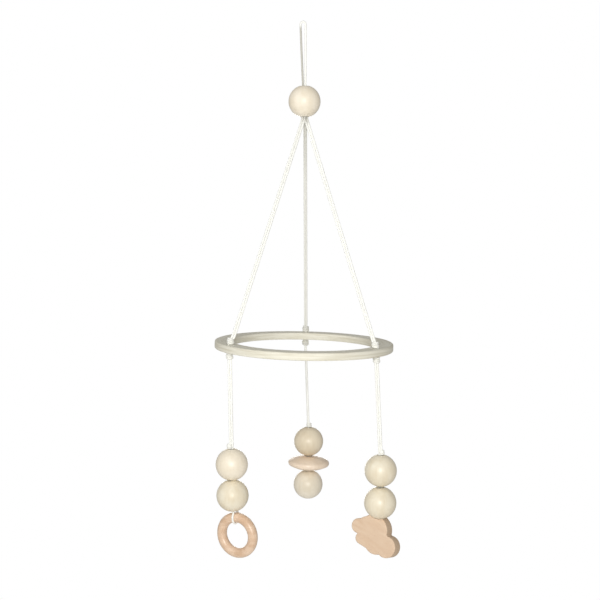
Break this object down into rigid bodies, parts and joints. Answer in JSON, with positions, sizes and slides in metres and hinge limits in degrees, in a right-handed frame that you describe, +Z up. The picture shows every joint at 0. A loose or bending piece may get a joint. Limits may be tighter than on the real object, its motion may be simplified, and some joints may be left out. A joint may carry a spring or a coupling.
{
  "type": "hanging nursery mobile",
  "caption": "Wooden mobile hung on a cord loop: lacquered balls, a flat ring, and pendants with a saucer, a small ring and a cloud.",
  "frame": {"origin": "point where a hook bears on the underside of the hanging loop's crown", "axes": "+Z up along the way it hangs, +X to the right, +Y to the back of the pendant with the saucer"},
  "size_m": [0.1701, 0.1841, 0.4979],
  "materials": {
    "cord": "waxed cotton",
    "cream_lacquer": "satin lacquer",
    "sand_lacquer": "satin lacquer",
    "whitewashed_wood": "white-washed, matt",
    "oiled_beech": "oiled, satin",
    "bare_beech": "sanded, bare"
  },
  "bodies": {
    "root": {"hanging_loop": "cord", "top_ball": "cream_lacquer", "ring": "whitewashed_wood", "left_upper_ball": "cream_lacquer", "left_lower_ball": "cream_lacquer", "small_ring": "oiled_beech", "left_cord": "cord", "back_upper_ball": "sand_lacquer", "saucer": "sand_lacquer", "back_lower_ball": "cream_lacquer", "back_cord": "cord", "right_upper_ball": "cream_lacquer", "right_lower_ball": "cream_lacquer", "cloud": "bare_beech", "right_cord": "cord"}
  },
  "joints": []
}
